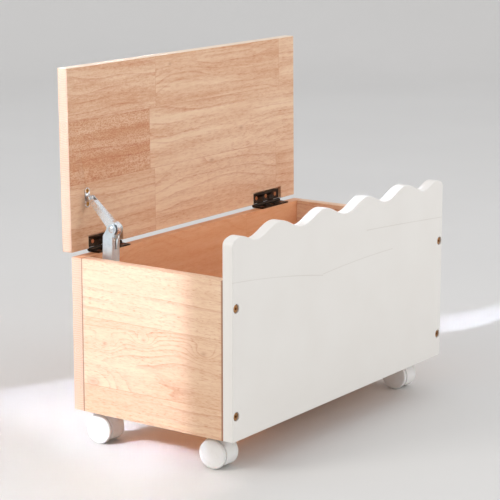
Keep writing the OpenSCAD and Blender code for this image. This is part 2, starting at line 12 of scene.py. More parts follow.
import bmesh
import bpy
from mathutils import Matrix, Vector

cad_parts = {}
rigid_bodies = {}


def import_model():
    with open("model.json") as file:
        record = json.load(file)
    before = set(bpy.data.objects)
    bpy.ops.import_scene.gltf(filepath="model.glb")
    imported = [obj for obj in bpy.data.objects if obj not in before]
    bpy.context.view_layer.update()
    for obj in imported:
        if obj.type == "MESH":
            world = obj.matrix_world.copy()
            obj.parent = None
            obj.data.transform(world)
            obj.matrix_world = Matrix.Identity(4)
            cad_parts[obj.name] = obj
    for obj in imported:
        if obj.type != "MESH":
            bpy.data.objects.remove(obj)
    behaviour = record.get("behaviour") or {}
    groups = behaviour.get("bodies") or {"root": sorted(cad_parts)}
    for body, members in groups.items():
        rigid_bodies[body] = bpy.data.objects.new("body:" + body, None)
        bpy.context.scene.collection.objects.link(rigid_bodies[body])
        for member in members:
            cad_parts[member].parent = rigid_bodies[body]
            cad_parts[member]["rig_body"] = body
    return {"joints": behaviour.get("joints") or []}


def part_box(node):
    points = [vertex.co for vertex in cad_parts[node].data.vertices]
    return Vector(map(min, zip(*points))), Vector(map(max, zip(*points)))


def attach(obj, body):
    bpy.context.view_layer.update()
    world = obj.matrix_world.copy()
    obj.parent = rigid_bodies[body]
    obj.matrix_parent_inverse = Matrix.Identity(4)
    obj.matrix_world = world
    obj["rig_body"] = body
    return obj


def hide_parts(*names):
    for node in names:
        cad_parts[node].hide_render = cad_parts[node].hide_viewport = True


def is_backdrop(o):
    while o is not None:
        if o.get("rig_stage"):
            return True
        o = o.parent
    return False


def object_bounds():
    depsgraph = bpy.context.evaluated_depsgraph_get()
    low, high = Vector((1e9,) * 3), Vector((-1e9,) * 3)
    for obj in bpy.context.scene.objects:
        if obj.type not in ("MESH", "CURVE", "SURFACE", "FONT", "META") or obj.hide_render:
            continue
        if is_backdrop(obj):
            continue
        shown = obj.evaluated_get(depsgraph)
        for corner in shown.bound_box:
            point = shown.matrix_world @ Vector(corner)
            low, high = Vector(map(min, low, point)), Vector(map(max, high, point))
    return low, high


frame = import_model()
cad_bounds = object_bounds()

MM = 0.001
LOW, HIGH = (Vector(corner) for corner in cad_bounds)
print("object, mm:", [round(v / MM, 1) for v in HIGH - LOW])

# %% [markdown]
# ## Measures
#
# A maker reads the sizes off the pieces themselves. Every measure below comes from the box round a
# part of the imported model, or from a joint, so nothing is typed twice.

# %% Read the measures
PANEL_LOW, PANEL_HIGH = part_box("front_panel")
BACK_LOW, BACK_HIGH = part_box("back_board")
SIDE_LOW, SIDE_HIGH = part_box("left_side_board")
LENGTH = PANEL_HIGH.x - PANEL_LOW.x
BOARD = PANEL_HIGH.y - PANEL_LOW.y
RIM = SIDE_HIGH.z
FOOT = SIDE_LOW.z
JOINTS = {joint["name"]: joint for joint in frame["joints"]}
LID_LEAN = math.radians(JOINTS["lid_hinge"]["range_deg"][1] - 90)
LID_LOW, LID_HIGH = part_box("lid_panel")
CASTERS = ("front_left", "front_right", "back_left", "back_right")
print(f"length {LENGTH / MM:.0f}, board {BOARD / MM:.0f}, rim at {RIM / MM:.0f} mm")

# %% [markdown]
# ## Node maths in plain Python
#
# A finish, or a shape that follows a rule, is a graph of nodes, and long formulas are hard to read as
# wiring. The small class below wraps one socket, so that `1 - mask * 0.3` adds its Math nodes by itself.
# Everything that isn't plain arithmetic goes through one method, `Recipe.add`, which takes a node's
# type, its settings and what its sockets hold. Materials and shapes share both.

# %% The socket wrapper
class Signal:
    """One socket of a recipe, which can be added, multiplied and compared like a number."""

    def __init__(self, recipe, socket):
        self.recipe = recipe
        self.socket = socket

    def maths(self, operation, *values):
        return self.recipe.add("ShaderNodeMath", {"operation": operation}, values)["Value"]

    def __add__(self, other):
        return self.maths("ADD", self, other)

    def __sub__(self, other):
        return self.maths("SUBTRACT", self, other)

    def __rsub__(self, other):
        return self.maths("SUBTRACT", other, self)

    def __mul__(self, other):
        return self.maths("MULTIPLY", self, other)

    def __truediv__(self, other):
        return self.maths("DIVIDE", self, other)

    def __pow__(self, other):
        return self.maths("POWER", self, other)

    def __abs__(self):
        return self.maths("ABSOLUTE", self)

    def __lt__(self, other):
        return self.maths("LESS_THAN", self, other)

    def __gt__(self, other):
        return self.maths("GREATER_THAN", self, other)

    __radd__ = __add__
    __rmul__ = __mul__

    def least(self, other):
        return self.maths("MINIMUM", self, other)

    def most(self, other):
        return self.maths("MAXIMUM", self, other)

    def one(self, operation):
        """A function of this value alone, by the Math node's name for it."""
        return self.maths(operation, self)


class Added:
    """A node that a recipe added; its outputs are read by name."""

    def __init__(self, recipe, node):
        self.recipe = recipe
        self.node = node

    def __getitem__(self, output):
        return Signal(self.recipe, self.node.outputs[output])


class Recipe:
    """A node tree that is written as formulas."""

    def __init__(self, tree):
        self.tree = tree

    def add(self, kind, settings=None, values=()):
        node = self.tree.nodes.new(kind)
        for key, value in (settings or {}).items():
            setattr(node, key, value)
        pairs = values.items() if isinstance(values, dict) else enumerate(values)
        for key, value in pairs:
            self.plug(value, node.inputs[key])
        return Added(self, node)

    def plug(self, value, socket):
        if isinstance(value, (list, tuple)) and isinstance(value[0], Signal):
            for one in value:
                self.tree.links.new(one.socket, socket)
        elif isinstance(value, Signal):
            self.tree.links.new(value.socket, socket)
        elif socket.type == "RGBA":
            socket.default_value = (*value, 1)
        else:
            socket.default_value = value

    def vector(self, x, y, z):
        return self.add("ShaderNodeCombineXYZ", values=[x, y, z])["Vector"]


class Finish(Recipe):
    """A material that is written as formulas."""

    def __init__(self, name):
        self.material = bpy.data.materials.new(name)
        self.material.use_nodes = True
        super().__init__(self.material.node_tree)
        self.shader = self.tree.nodes["Principled BSDF"]
        self.place = self.add("ShaderNodeTexCoord")["Object"]
        axes = self.add("ShaderNodeSeparateXYZ", values=[self.place])
        self.x, self.y, self.z = axes["X"], axes["Y"], axes["Z"]

    def set(self, **sockets):
        """Plugs values into the shader; Base_Color stands for Base Color."""
        for name, value in sockets.items():
            self.plug(value, self.shader.inputs[name.replace("_", " ")])
        return self.material

    def noise(self, vector, scale=1.0, detail=2.0, roughness=0.5):
        values = {"Vector": vector, "Scale": scale, "Detail": detail, "Roughness": roughness}
        return self.add("ShaderNodeTexNoise", values=values)["Fac"]

    def ease(self, value, low, high):
        """0 below low, 1 above high, and an even ease between them."""
        values = {"Value": value, "From Min": low, "From Max": high}
        return self.add("ShaderNodeMapRange", {"interpolation_type": "SMOOTHSTEP"}, values)["Result"]

    def tint(self, factor, first, second):
        """Colours only: from first to second."""
        mix = self.add("ShaderNodeMix", {"data_type": "RGBA"})
        for value, socket in ((factor, 0), (first, 6), (second, 7)):
            self.plug(value, mix.node.inputs[socket])
        return Signal(self, mix.node.outputs[2])

    def bump(self, height, strength, distance):
        values = {"Height": height, "Strength": strength, "Distance": distance}
        return self.add("ShaderNodeBump", values=values)["Normal"]

    def within(self, value, low, high):
        return (value > low) * (value < high)

    def hairline(self, value, half_width):
        """1 where value is close to 0."""
        return 1 - self.ease(abs(value), half_width * 0.4, half_width)


def srgb(red, green, blue):
    """A colour as a paint chart gives it, 0 to 255, in the linear numbers that shaders use."""
    def linear(value):
        value /= 255
        return value / 12.92 if value <= 0.04045 else ((value + 0.055) / 1.055) ** 2.4
    return tuple(linear(value) for value in (red, green, blue))


print("pale wood in linear light:", [round(v, 3) for v in srgb(222, 178, 143)])

# %% [markdown]
# ## The wood
#
# The boards are glued from staves of one pale hardwood. Each stave was sawn from its own log, so its
# figure neither matches nor lines up with its neighbour's. The figure could be painted, but a saw cut
# through a formula is closer to what happened: growth rings are sheets in the log, and a board shows
# where it cuts them. Here the rings are an even stack across the board, pushed about by slow noise and
# lifted round each knot, so their lines flow round it. On top come fibres, fine pores, and the darker
# line of each glued joint.

# %% Staves and knots
WOOD_PALE = srgb(247, 214, 181)
WOOD_TAN = srgb(218, 161, 120)
WOOD_LINE = srgb(196, 106, 62)
WOOD_KNOT = srgb(186, 118, 84)
WOOD_WARM = srgb(222, 144, 88)
# Pale cream of the painted highlight along the lid's top edge
WOOD_PAINTED_HIGHLIGHT = srgb(252, 236, 214)
WOOD_END = srgb(236, 203, 180)
WOOD_SEAM = srgb(150, 92, 64)
RING = 17 * MM
SKIN = 0.9 * MM


def stave(along, across, tone=0.4, flow=0.03, speckle=0.0, seed=1.0):
    """Its limits in metres, how dark it is, how much its grain wanders, how flecked it is."""
    return {"along": along, "across": across,
            "tone": tone, "flow": flow, "speckle": speckle, "seed": seed}


def staves_here(finish, along, across, staves):
    """What the stave under each point says, and 1 on every joint between staves."""
    here = {"tone": 0.0, "flow": 0.0, "speckle": 0.0, "seed": 0.0}
    joints = 0.0
    for one in staves:
        beside = finish.within(along, *one["along"])
        above = finish.within(across, *one["across"])
        inside = beside * above
        for key in here:
            here[key] = here[key] + inside * one[key]
        edge = finish.hairline(across - one["across"][0], 0.0006)
        butt = finish.hairline(along - one["along"][0], 0.0006)
        joints = joints + edge * beside + butt * above
    return here, joints.least(1.0)


def knot_pull(finish, along, across, knots):
    """How far the rings rise round the knots, and how near each point is to a knot's heart."""
    lift, heart = 0.0, 0.0
    for knot_along, knot_across, radius, height in knots:
        side = (along - knot_along) / 1.8
        up = across - knot_across
        spread = (side * side + up * up) / (radius * radius)
        lift = lift + (spread * -0.14).one("EXPONENT") * height
        heart = heart + (spread * -3).one("EXPONENT")
    return lift, heart


print("rings every", RING / MM, "mm")

# %% [markdown]
# ### From figure to finish
#
# The figure drives three things at once, as it does on a lacquered board: the colour, a slight change
# of gloss, and shallow relief where the soft early wood has sunk. End grain is another cut through the
# same log: short arcs, paler and duller.

# %% The lacquered board
def end_grain(finish, across, depth, shift):
    """Growth rings as the saw shows them on the end of a board, arched over the heart side."""
    share = (across * 9 + shift).one("FRACT") - 0.5
    waver = finish.noise(finish.vector(across * 34, depth * 70, shift), detail=2)
    radius = (share * share * 0.014 + depth * depth).one("SQRT") + waver * 0.006
    return finish.ease((radius / 0.0036).one("FRACT"), 0.45, 0.95)


def wood(name, axes, staves, knots=(), ends=None, seams=(), painted_highlight_edge=None,
         warmth=0.0, seed=0.0, figure=1.0):
    """A lacquered board. axes names its along, across and depth directions; ends are its sawn ends
    and its middle depth, seams are where other boards butt against it, the highlight edge is the height of a
    long top edge that is tinted pale cream as a painted highlight, standing in for the sun on it, and figure
    is how strongly its streaks show."""
    finish = Finish(name)
    along, across, depth = (getattr(finish, axis) for axis in axes)
    here, joints = staves_here(finish, along, across, staves)
    shift = here["seed"] * 0.37 + seed

    # Slow noise bends the stack of rings, and a finer one makes them waver
    slow = finish.noise(finish.vector(along * 3.4, across * 8 + shift, depth * 5 + shift * 3), detail=1.2)
    fine = finish.noise(finish.vector(along * 16, across * 46 + shift, depth * 30), detail=2)
    if knots:
        lift, heart = knot_pull(finish, along, across, knots)
    else:
        lift = heart = here["tone"] * 0.0
    drift = across * 70 + (slow - 0.5) * 4 + lift * 60
    uneven = finish.noise(finish.vector(shift, drift, depth * 12), detail=1)
    stack = across + depth * 0.35 + (slow - 0.5) * here["flow"] * 6 + lift + shift
    stack = stack + (fine - 0.5) * 0.004 + (uneven - 0.5) * 0.016
    phase = (stack / RING).one("FRACT")
    line = phase ** 6 * (1 - finish.ease(phase, 0.96, 1.0))
    presence = finish.noise(finish.vector(along * 5, across * 30 + shift, depth * 9), detail=2)
    line = line * finish.ease(presence, 0.3, 0.62)

    # Streaks run for a hand's length, fibres are finer, pores are short dashes, flecks are cut rays
    long_cells = finish.vector(along * 2.6, across * 62 + shift, depth * 30)
    streaks = finish.noise(long_cells, detail=3, roughness=0.62)
    fine_cells = finish.vector(along * 70, across * 330 + shift, depth * 330)
    fibres = finish.noise(fine_cells, detail=3, roughness=0.6)
    pores = finish.noise(finish.vector(along * 120, across * 640 + shift, depth * 640), detail=1)
    pores = finish.ease(pores, 0.54, 0.7) * finish.ease(streaks, 0.3, 0.55)
    flecks = finish.noise(finish.vector(along * 260, across * 620 + shift, depth * 620), detail=1)
    flecks = finish.ease(flecks, 0.4, 0.66) * here["speckle"]
    clouds = finish.noise(finish.vector(along * 5, across * 16 + shift, depth * 10), detail=3)

    tone = here["tone"] + (clouds - 0.5) * 0.9 + (fibres - 0.5) * 0.7 + flecks * 0.4
    tone = tone + (streaks - 0.5) * (1.5 * figure)
    colour = finish.tint(tone.least(1.0).most(0.0), WOOD_PALE, WOOD_TAN)
    dark = line * 0.52 + pores * 0.3 + flecks * 0.34 + (streaks - 0.5) * (0.25 * figure)
    dark = dark + (fibres - 0.5) * (0.22 + 0.28 * figure)
    colour = finish.tint(dark.least(0.85).most(0.0), colour, WOOD_LINE)
    colour = finish.tint((heart * 0.45).least(0.6), colour, WOOD_KNOT)
    colour = finish.tint(joints * 0.38, colour, WOOD_LINE)

    # warmth tints the whole board toward a deeper orange; on the back board it is partly the board's own
    # tone and partly painted warm shade, the orange of light bounced round the box's shaded inside
    if warmth:
        colour = finish.tint(warmth, colour, WOOD_WARM)
    # Painted highlight: a strip along the top edge is tinted pale cream, standing in for the sun on it
    if painted_highlight_edge:
        colour = finish.tint((across > painted_highlight_edge - SKIN) * 0.7, colour, WOOD_PAINTED_HIGHLIGHT)

    relief = fibres * 0.5 - pores * 0.6 - joints
    if ends:
        end = (along < ends[0] + SKIN) + (along > ends[1] - SKIN)
        arcs = end_grain(finish, across, depth - ends[2], shift)
        colour = finish.tint(end * (0.8 - arcs * 0.3), colour, WOOD_END)
        colour = finish.tint(end * arcs * 0.1, colour, WOOD_LINE)
        relief = relief * (1 - end) - arcs * end * 0.3
    for seam in seams:
        near = finish.hairline(along - seam, 0.0034)
        colour = finish.tint(near * 0.8, colour, WOOD_SEAM)
    return finish.set(Base_Color=colour, Roughness=0.5 - fibres * 0.14 + line * 0.06,
                      Normal=finish.bump(relief, 0.3, 0.00012), Coat_Weight=0.1, Coat_Roughness=0.32)


# %% [markdown]
# ### Which stave lies where
#
# The lid and the sides are read as three rows of staves each. Their joints are staggered, because a
# joint that runs straight through a panel would be its weak line.

# %% Lay out the staves
def rows(base, *layout):
    """Staves from rows that are written in millimetres above base."""
    laid = []
    for low, high, pieces in layout:
        for start, stop, tone, flow, speckle, seed in pieces:
            laid.append(stave((start * MM, stop * MM), (base + low * MM, base + high * MM),
                              tone, flow, speckle, seed))
    return laid


REACH = 400
LID_BASE = LID_LOW.z
lid_staves = rows(
    LID_BASE,
    (-20, 102, [(-REACH, -94, 0.5, 0.012, 0.1, 3), (-94, 244, 0.34, 0.022, 0.0, 4.6),
                (244, REACH, 0.42, 0.01, 0.0, 7)]),
    (102, 197, [(-REACH, -105, 0.6, 0.008, 0.9, 11), (-105, REACH, 0.3, 0.016, 0.0, 13.3)]),
    (197, REACH, [(-REACH, -88, 0.45, 0.014, 0.25, 17), (-88, 254, 0.5, 0.034, 0.0, 19.4),
                  (254, REACH, 0.36, 0.01, 0.0, 23)]))
lid_knots = [(0.058, LID_BASE + 0.094, 0.006, 0.010), (0.142, LID_BASE + 0.138, 0.005, 0.008),
             (-0.05, LID_BASE + 0.262, 0.004, 0.006)]
side_staves = rows(
    FOOT,
    (-REACH, 45, [(-REACH, REACH, 0.36, 0.02, 0.0, 5)]),
    (45, 150, [(-REACH, REACH, 0.26, 0.034, 0.0, 8.2)]),
    (150, REACH, [(-REACH, REACH, 0.2, 0.005, 0.0, 12)]))
side_knots = [(0.0765, FOOT + 0.113, 0.005, 0.055), (0.0025, FOOT + 0.129, 0.004, 0.05),
              (-0.1075, FOOT + 0.125, 0.0045, 0.05), (0.1, FOOT + 0.05, 0.011, 0.075)]
back_staves = rows(
    FOOT,
    (-REACH, 62, [(-REACH, 60, 0.45, 0.02, 0.1, 31), (60, REACH, 0.55, 0.02, 0.0, 33)]),
    (62, 151, [(-REACH, -120, 0.5, 0.02, 0.1, 35), (-120, REACH, 0.4, 0.03, 0.0, 37)]),
    (151, REACH, [(-REACH, 130, 0.5, 0.045, 0.1, 39), (130, REACH, 0.42, 0.03, 0.0, 41)]))

HALF = LENGTH / 2
lid_middle = (LID_LOW.y + LID_HIGH.y) / 2
# The lid's top edge carries the painted highlight
lid_wood = wood("lid_wood", "xzy", lid_staves, lid_knots, (-HALF, HALF, lid_middle),
                painted_highlight_edge=LID_HIGH.z)
left_wood = wood("left_side_wood", "yzx", side_staves, side_knots,
                 seams=(SIDE_LOW.y, SIDE_HIGH.y), figure=0.35)
right_wood = wood("right_side_wood", "yzx", side_staves, seed=0.61, figure=0.5)
# The back board's warmth is partly painted warm shade from the box's inside
back_wood = wood("back_board_wood", "xzy", back_staves,
                 ends=(-HALF, HALF, (BACK_LOW.y + BACK_HIGH.y) / 2), warmth=0.62, seed=0.2)
plank = [stave((-1, 1), (-1, 1), 0.45, 0.035, 0.1, 2)]
bottom_wood = wood("bottom_board_ply", "xyz", plank, warmth=0.2)
dowel_wood = wood("dowel_beech", "yzx", plank, warmth=0.1)
print(len(lid_staves), "lid staves,", len(side_staves), "side staves")

# %% [markdown]
# ## Paint on the front
#
# The front is sprayed satin white over solid wood. Sprayed paint is never dead flat: it has a faint
# orange peel, it hints at the grain below, and fine hairlines open over the joints of the board as the
# wood moves. Each hairline is a shallow curve through three points.

# %% Satin paint
def sprayed_paint():
    finish = Finish("satin_paint")
    up = finish.z - FOOT
    peel = finish.noise(finish.place, scale=900, detail=1)
    waves = finish.noise(finish.vector(finish.x * 5, finish.y * 5, finish.z * 90), detail=3)
    wear = finish.noise(finish.place, scale=14, detail=2)
    lines = 0.0
    for start, middle, stop in (
        ((-300, 237), (-180, 224), (-64, 205)), ((-64, 207), (40, 211), (140, 211)),
        ((60, 254), (140, 249), (300, 237)),
    ):
        span = (stop[0] - start[0]) * MM
        share = (finish.x - start[0] * MM) / span
        ends_z = (start[1] + (stop[1] - start[1]) * share) * MM
        half_way = start[1] + (stop[1] - start[1]) * (middle[0] - start[0]) / (stop[0] - start[0])
        belly = share * (1 - share) * 4 * (middle[1] - half_way) * MM
        lines = lines + finish.hairline(up - ends_z - belly, 0.0009) * finish.within(share, 0.0, 1.0)
    front = finish.y < PANEL_LOW.y + 0.002
    lines = lines * front * (0.25 + wear * 0.9)
    colour = finish.tint(wear, srgb(243, 240, 235), srgb(238, 234, 228))
    colour = finish.tint((lines * 0.3).least(0.4), colour, srgb(176, 164, 150))
    height = peel * 0.25 + waves * 0.5 - lines * 2
    return finish.set(Base_Color=colour, Roughness=0.4 + wear * 0.1,
                      Normal=finish.bump(height, 0.25, 0.0002), Coat_Weight=0.08, Coat_Roughness=0.3)


paint = sprayed_paint()
print(paint.name)

# %% [markdown]
# ## Metal and plastic
#
# The hinges are steel with a dark bronze lacquer that has worn lighter on its edges, the stay is bright
# zinc with a faint blue cast, the bolts are copper coloured and the lid's small screws are brass. One
# function makes them all: a metal is a colour, a second colour where it has worn or clouded, and a
# scale of fine scratches. The caster plastic is not metal, and gets its own recipe.

# %% Metals
def metal(name, main, second, roughness, scratches=0.15, spangle=0.0):
    finish = Finish(name)
    cloud = finish.noise(finish.place, scale=90, detail=4, roughness=0.65)
    grit = finish.noise(finish.place, scale=1500, detail=2)
    scratch = finish.noise(finish.vector(finish.x * 260, finish.y * 2600, finish.z * 2600), detail=2)
    worn = finish.ease(cloud * 0.8 + grit * 0.2, 0.4, 0.72)
    rough = roughness + (cloud - 0.5) * 0.16 + (scratch - 0.5) * scratches
    if spangle:
        grains = {"Vector": finish.place, "Scale": 420.0}
        cells = finish.add("ShaderNodeTexVoronoi", values=grains)["Distance"]
        rough = rough + (cells - 0.4) * spangle
    height = grit * 0.4 + scratch * 0.6
    return finish.set(Base_Color=finish.tint(worn, main, second), Metallic=1.0,
                      Roughness=rough.least(0.9).most(0.08), Normal=finish.bump(height, 0.06, 0.00003))


bronze = metal("dark_bronze", srgb(54, 42, 34), srgb(84, 64, 48), 0.4)
zinc = metal("zinc_plate", srgb(240, 242, 244), srgb(222, 226, 230), 0.26, spangle=0.08)
channel_zinc = metal("channel_zinc", srgb(228, 240, 246), srgb(208, 222, 230), 0.34, spangle=0.08)
spring_steel = metal("spring_steel", srgb(150, 150, 152), srgb(112, 112, 116), 0.3)
brass = metal("brass", srgb(206, 164, 92), srgb(172, 128, 66), 0.3)
copper = metal("copper_screw", srgb(206, 138, 96), srgb(168, 104, 68), 0.32)
bolt_copper = metal("bolt_copper", srgb(186, 136, 88), srgb(124, 92, 58), 0.32)


def moulded_plastic():
    finish = Finish("white_plastic")
    grain = finish.noise(finish.place, scale=2200, detail=1)
    scuff = finish.noise(finish.place, scale=60, detail=5, roughness=0.7)
    # Darker in scuffed patches and towards the bottom, within 12 mm of the floor
    low = 1 - finish.ease(finish.z, 0.0, 0.012)
    scuffs_and_low_darkening = (finish.ease(scuff, 0.5, 0.8) * 0.25 + low * 0.25).least(0.5)
    return finish.set(Base_Color=finish.tint(scuffs_and_low_darkening, srgb(242, 241, 239), srgb(205, 200, 192)),
                      Roughness=0.34 + scuff * 0.16,
                      Normal=finish.bump(grain * 0.5 + scuff * 0.5, 0.15, 0.0001),
                      Subsurface_Weight=0.06, Subsurface_Scale=0.002)


plastic = moulded_plastic()
print("metals and plastic:", [m.name for m in (bronze, zinc, channel_zinc, brass, copper, plastic)])

# %% [markdown]
# ## Pieces from the imported shapes
#
# The imported meshes are exact but raw: loose triangles with no shading of their own. Most pieces here
# are pressed, turned or moulded, and their imported shape is already right. So each gets a merged copy
# with smooth curves and crisp edges, which stands for the imported node and rides on the same body.


def body_of(node):
    return bpy.data.objects[node]["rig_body"]


def merged(node):
    """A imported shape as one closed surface."""
    shape = bmesh.new()
    shape.from_mesh(bpy.data.objects[node].data)
    bmesh.ops.remove_doubles(shape, verts=shape.verts, dist=2e-6)
    return shape


def settle(shape, name, material, *nodes, rounded=None, flats=False, crease=33):
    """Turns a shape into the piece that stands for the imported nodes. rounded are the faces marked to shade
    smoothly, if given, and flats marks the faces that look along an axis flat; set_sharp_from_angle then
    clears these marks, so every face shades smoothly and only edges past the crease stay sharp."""
    gaps = sum(1 for edge in shape.edges if len(edge.link_faces) != 2)
    for face in shape.faces:
        wide = flats and max(abs(v) for v in face.normal) > 0.9999
        face.smooth = face in rounded if rounded else not wide
    mesh = bpy.data.meshes.new(name)
    shape.to_mesh(mesh)
    shape.free()
    mesh.materials.append(material)
    mesh.set_sharp_from_angle(angle=math.radians(crease))
    piece = bpy.data.objects.new(name, mesh)
    bpy.context.scene.collection.objects.link(piece)
    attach(piece, body_of(nodes[0]))
    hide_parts(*nodes)
    print(f"{name}: {len(mesh.polygons)} faces, {gaps} open edges")
    return piece


def solid_boxes(node):
    """The box round each separate solid of a node, as pairs of corners."""
    shape = merged(node)
    left = set(shape.verts)
    boxes = []
    while left:
        heap, solid = [left.pop()], []
        while heap:
            vert = heap.pop()
            solid.append(vert.co.copy())
            for edge in vert.link_edges:
                other = edge.other_vert(vert)
                if other in left:
                    left.discard(other)
                    heap.append(other)
        boxes.append(tuple(Vector(pick(co[axis] for co in solid) for axis in range(3))
                           for pick in (min, max)))
    shape.free()
    return sorted(boxes, key=lambda box: tuple(round(v, 4) for v in box[0]))


# %% [markdown]
# ## The boards
#
# Furniture board leaves the saw with edges that would splinter, so a maker runs a small round along
# every long edge and sands it. A Bevel modifier would round the screw holes as well. Here only the long
# straight edges are picked and bevelled. The wide faces are marked flat, but the smoothing by angle
# clears that mark, so they shade smoothly together with the rounded edges.

# %% Round the long edges of a board
def eased_board(node, material, radius, name):
    shape = merged(node)
    bmesh.ops.dissolve_limit(shape, angle_limit=math.radians(0.3), verts=shape.verts, edges=shape.edges)
    edges = [edge for edge in shape.edges if edge.is_convex and edge.calc_length() > 0.012
             and abs(edge.calc_face_angle() - math.pi / 2) < 0.1]
    made = bmesh.ops.bevel(shape, geom=edges, offset=radius, segments=3, profile=0.5, affect="EDGES",
                           clamp_overlap=False)
    return settle(shape, name, material, node, rounded=set(made["faces"]), crease=40)


eased_board("lid_panel", lid_wood, 1.2 * MM, "lid_board")
eased_board("left_side_board", left_wood, 0.4 * MM, "left_side")
eased_board("right_side_board", right_wood, 0.4 * MM, "right_side")
eased_board("back_board", back_wood, 0.7 * MM, "back_of_box")
eased_board("bottom_board", bottom_wood, 0.3 * MM, "bottom_of_box")

# %% [markdown]
# ## Shapes that follow a rule
#
# Geometry Nodes suit a shape that a formula gives, because its sizes stay inputs that can be turned
# afterwards. `Maker` builds such a tree with the same socket wrapper as the finishes. Its result is
# turned into a plain mesh straight away, because an exported model can't carry the tree.

# %% A tree that makes a mesh
class Maker(Recipe):
    """A Geometry Nodes tree with named sizes."""

    def __init__(self, name, **sizes):
        super().__init__(bpy.data.node_groups.new(name, "GeometryNodeTree"))
        self.sizes = sizes
        face = self.tree.interface
        face.new_socket(name="Geometry", in_out="INPUT", socket_type="NodeSocketGeometry")
        for size, value in sizes.items():
            kind = "NodeSocketVector" if isinstance(value, tuple) else "NodeSocketFloat"
            face.new_socket(name=size, in_out="INPUT", socket_type=kind)
        face.new_socket(name="Geometry", in_out="OUTPUT", socket_type="NodeSocketGeometry")
        self.given = Added(self, self.tree.nodes.new("NodeGroupInput"))
        self.index = self.add("GeometryNodeInputIndex")["Index"]

    def make(self, geometry, start=None):
        """The tree's mesh as a bmesh; start is the mesh that the tree is given."""
        real = self.add("GeometryNodeRealizeInstances", values=[geometry])["Geometry"]
        coated = self.add("GeometryNodeSetMaterial", values={"Geometry": real, "Material": zinc})["Geometry"]
        self.add("NodeGroupOutput", values=[coated])
        holder = bpy.data.objects.new(self.tree.name, start or bpy.data.meshes.new(self.tree.name))
        bpy.context.scene.collection.objects.link(holder)
        modifier = holder.modifiers.new(self.tree.name, "NODES")
        modifier.node_group = self.tree
        for item in self.tree.interface.items_tree:
            if item.in_out == "INPUT" and item.name in self.sizes:
                modifier[item.identifier] = self.sizes[item.name]
        state = bpy.context.evaluated_depsgraph_get()
        mesh = bpy.data.meshes.new_from_object(holder.evaluated_get(state))
        shape = bmesh.new()
        shape.from_mesh(mesh)
        bmesh.ops.remove_doubles(shape, verts=shape.verts, dist=1e-6)
        bmesh.ops.recalc_face_normals(shape, faces=shape.faces)
        for face in shape.faces:
            face.material_index = 0
        bpy.data.objects.remove(holder)
        bpy.data.meshes.remove(mesh)
        return shape

    def grid(self, rings, around):
        """A sheet of rings, with the number of each point's ring and its step round the ring."""
        size = {"Vertices X": rings, "Vertices Y": around + 1}
        sheet = self.add("GeometryNodeMeshGrid", values=size)["Mesh"]
        ring = (self.index / (around + 1) + 0.001).one("FLOOR")
        step = self.index - ring * (around + 1)
        return sheet, ring, step - (step > around - 0.5) * around

    def shaped(self, sheet, place):
        """The sheet bent into its place, with its seam closed."""
        bent = {"Geometry": sheet, "Position": place}
        moved = self.add("GeometryNodeSetPosition", values=bent)["Geometry"]
        merge = {"Geometry": moved, "Distance": 4e-6}
        return self.add("GeometryNodeMergeByDistance", values=merge)["Geometry"]

    def pick(self, ring, values):
        """The value of this ring, from a list."""
        chosen = 0.0
        for number, value in enumerate(values):
            chosen = chosen + (abs(ring - number) < 0.5) * value
        return chosen

    def lathe(self, profile, around=28):
        """A turned solid, from (radius, height) pairs that start and end on its axis."""
        sheet, ring, step = self.grid(len(profile), around)
        radius = self.pick(ring, [one[0] for one in profile])
        height = self.pick(ring, [one[1] for one in profile])
        turn = step * (math.tau / around)
        place = self.vector(radius * turn.one("COSINE"), radius * turn.one("SINE"), height)
        return self.shaped(sheet, place)

    def rod(self, radius, length, middle, turn=(0, 0, 0), sides=32):
        """A closed cylinder about its middle."""
        size = {"Vertices": sides, "Radius": radius, "Depth": length}
        rod = self.add("GeometryNodeMeshCylinder", values=size)["Mesh"]
        return self.placed(rod, middle, turn)

    def block(self, size, middle):
        block = self.add("GeometryNodeMeshCube", values={"Size": size})["Mesh"]
        return self.placed(block, middle)

    def placed(self, geometry, middle, turn=(0, 0, 0)):
        where = {"Geometry": geometry, "Translation": middle, "Rotation": turn}
        return self.add("GeometryNodeTransform", values=where)["Geometry"]

    def cut(self, body, *tools):
        """The body less the tools, with its surface closed."""
        closed = {"operation": "DIFFERENCE", "solver": "MANIFOLD"}
        shapes = {"Mesh 1": body, "Mesh 2": list(tools)}
        return self.add("GeometryNodeMeshBoolean", closed, shapes)["Mesh"]


print("one wrapper serves", Finish.__name__, "and", Maker.__name__)

# %% [markdown]
# ## The wavy front panel
#
# The front is one board whose top is routed in four even waves with a lobe at each end, and whose
# edges were then run over with a rounding cutter before painting. A flat cut-out with a bevel would give
# the shape, but here the whole board is one rule: a rounded section that travels along the box while
# its top follows a cosine. Both ends draw in by the same small round. Holes are cut afterwards.

# %% Make the wavy panel
CROSSING = 5
WAVES = 4
LOBE_TURN = math.radians(276)
RISE = 17 * MM
BORE = 7 * MM
SINK = 4.6 * MM
SHANK_HOLE = 3.1 * MM
DOWEL_GAP = 0.05 * MM
GROOVE_GAP = 0.3 * MM
bolt_boxes = solid_boxes("front_bolts")
dowel_boxes = [box for box in solid_boxes("alignment_dowels") if box[0].y < 0]
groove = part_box("bottom_board")

panel = Maker("wavy_panel", Length=LENGTH, Thickness=BOARD, Foot=FOOT, Valley=PANEL_HIGH.z - RISE,
              Rise=RISE, Pitch=120 * MM, Lobe=10.5 * MM, Corner=7 * MM, Arris=1.3 * MM,
              Middle=(PANEL_LOW.y + PANEL_HIGH.y) / 2)
given = panel.given
rings = 203
sheet, ring, step = panel.grid(rings, 4 * CROSSING)

